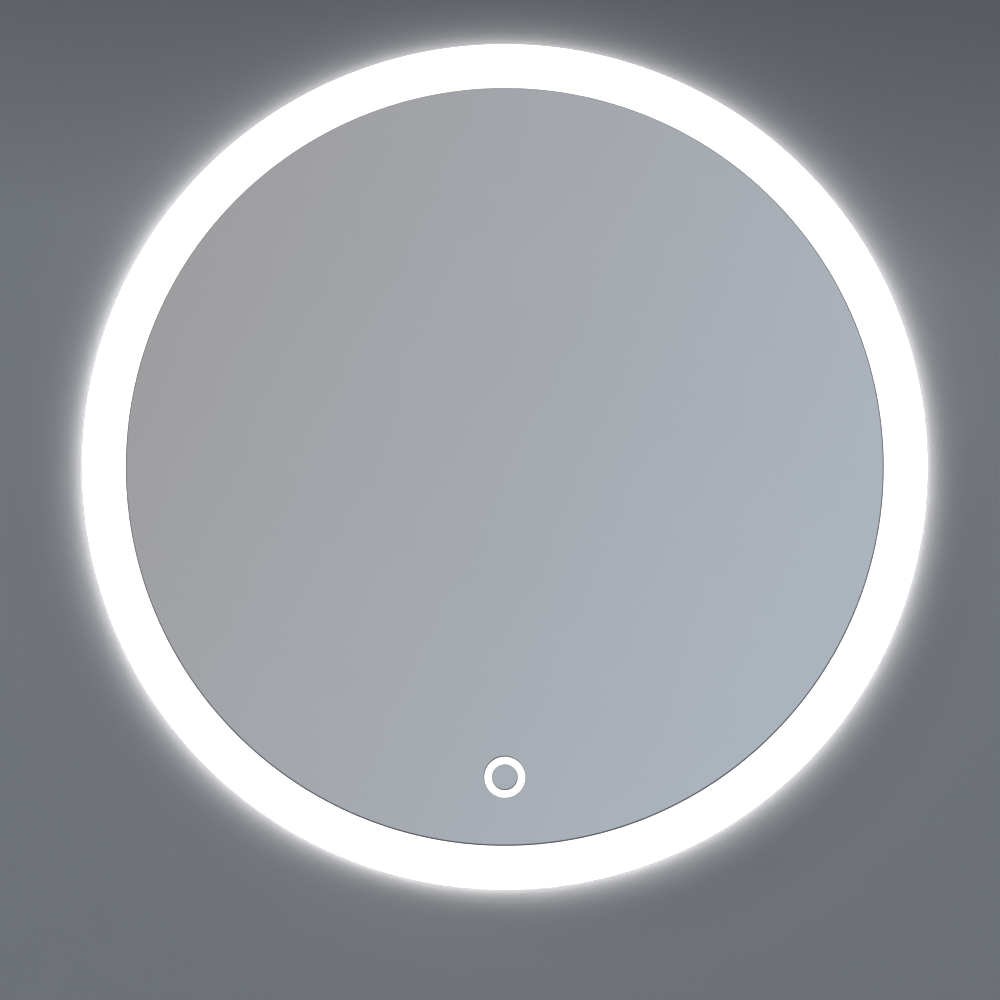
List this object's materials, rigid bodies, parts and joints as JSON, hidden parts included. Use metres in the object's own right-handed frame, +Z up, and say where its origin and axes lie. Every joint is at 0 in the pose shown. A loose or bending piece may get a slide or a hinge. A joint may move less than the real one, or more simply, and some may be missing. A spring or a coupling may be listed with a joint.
{
  "type": "lighted bathroom mirror",
  "caption": "Round frameless wall mirror with a lit frosted band at its rim, a lit touch ring, an opal ring glowing on the wall behind, a hang-on cleat and a lidded wiring box.",
  "frame": {"origin": "centre of the two wall fixing slots, on the wall plane, 135 mm above the mirror's centre", "axes": "+X to the viewer's right, +Y into the wall, +Z up"},
  "size_m": [0.6, 0.045, 0.5999],
  "materials": {
    "clear_glass": "clear float glass with a polished edge",
    "silver_mirror": "silvered, seen through the glass",
    "frosted_glass": "sandblasted, lit from behind",
    "opal_acrylic": "opal, satin, lit from inside",
    "hoop_aluminium": "rolled, satin",
    "panel_paint": "powder coat, light grey, fine texture",
    "zinc_steel": "zinc plated",
    "black_rubber": "matt",
    "foam_tape": "closed-cell foam, matt",
    "strip_board": "white flexible circuit board",
    "led_chip": "light-emitting chip",
    "switch_plastic": "moulded, matt black",
    "circuit_board": "green solder mask",
    "light_guide": "clear acrylic",
    "copper": "bare copper",
    "heater_foil": "printed heater foil",
    "box_plastic": "moulded, fine spark texture",
    "driver_plastic": "moulded, fine texture",
    "ferrite": "matt ferrite",
    "capacitor_sleeve": "heat-shrink sleeve",
    "terminal_plastic": "moulded grey",
    "live_brown": "moulded brown",
    "neutral_blue": "moulded blue",
    "earth_green": "moulded green",
    "white_sheath": "soft cable sheath",
    "earth_sheath": "green and yellow sheath"
  },
  "bodies": {
    "wall_bracket": {"wall_bracket": "zinc_steel"},
    "mirror": {"mirror_glass": "clear_glass", "silver_coat": "silver_mirror", "frosted_band": "frosted_glass", "touch_icon": "frosted_glass", "bond_tape": "foam_tape", "diffuser_ring": "opal_acrylic", "diffuser_seal": "black_rubber", "rim_band": "hoop_aluminium", "led_strip": "strip_board", "led_chips": "led_chip", "led_lead": "white_sheath", "lead_grommet": "black_rubber", "chassis_hoop": "hoop_aluminium", "hoop_joiner": "hoop_aluminium", "joiner_rivets": "hoop_aluminium", "back_panel": "panel_paint", "panel_screws": "zinc_steel", "bumper_feet": "black_rubber", "hanger_rail": "zinc_steel", "hanger_rivets": "zinc_steel", "touch_case": "switch_plastic", "touch_board": "circuit_board", "touch_leds": "led_chip", "touch_light_guide": "light_guide", "touch_sense_pad": "copper", "touch_connector": "box_plastic", "touch_lead": "white_sheath", "demister_pad": "heater_foil", "demister_terminal": "box_plastic", "demister_lead": "white_sheath", "driver_case": "driver_plastic", "driver_cover": "driver_plastic", "driver_board": "circuit_board", "driver_transformer": "ferrite", "driver_capacitors": "capacitor_sleeve", "driver_screws": "zinc_steel", "wiring_box": "box_plastic", "lid_hinge_pin": "zinc_steel", "lid_gasket": "black_rubber", "box_screws": "zinc_steel", "cable_grommet": "black_rubber", "terminal_block": "terminal_plastic", "terminal_contacts": "copper", "lever_axle": "zinc_steel", "mains_link_lead": "white_sheath", "earth_stud": "zinc_steel", "earth_nut": "zinc_steel", "earth_tag": "copper", "earth_lead": "earth_sheath", "cable_clips": "box_plastic"},
    "wiring_lid": {"wiring_box_lid": "box_plastic"},
    "live_lever": {"live_lever": "live_brown"},
    "neutral_lever": {"neutral_lever": "neutral_blue"},
    "earth_lever": {"earth_lever": "earth_green"}
  },
  "joints": [
    {"name": "hang_lift", "type": "slide", "parent": "wall_bracket", "child": "mirror", "axis": [0, 0, 1], "range_m": [0, 0.014]},
    {"name": "wiring_lid_hinge", "type": "hinge", "parent": "mirror", "child": "wiring_lid", "pos_m": [0, -0.0067, -0.19], "axis": [1, 0, 0], "range_deg": [0, 110]},
    {"name": "live_lever_hinge", "type": "hinge", "parent": "mirror", "child": "live_lever", "pos_m": [-0.012, -0.0258, -0.214], "axis": [1, 0, 0], "range_deg": [0, 85]},
    {"name": "neutral_lever_hinge", "type": "hinge", "parent": "mirror", "child": "neutral_lever", "pos_m": [0, -0.0258, -0.214], "axis": [1, 0, 0], "range_deg": [0, 85]},
    {"name": "earth_lever_hinge", "type": "hinge", "parent": "mirror", "child": "earth_lever", "pos_m": [0.012, -0.0258, -0.214], "axis": [1, 0, 0], "range_deg": [0, 85]}
  ]
}
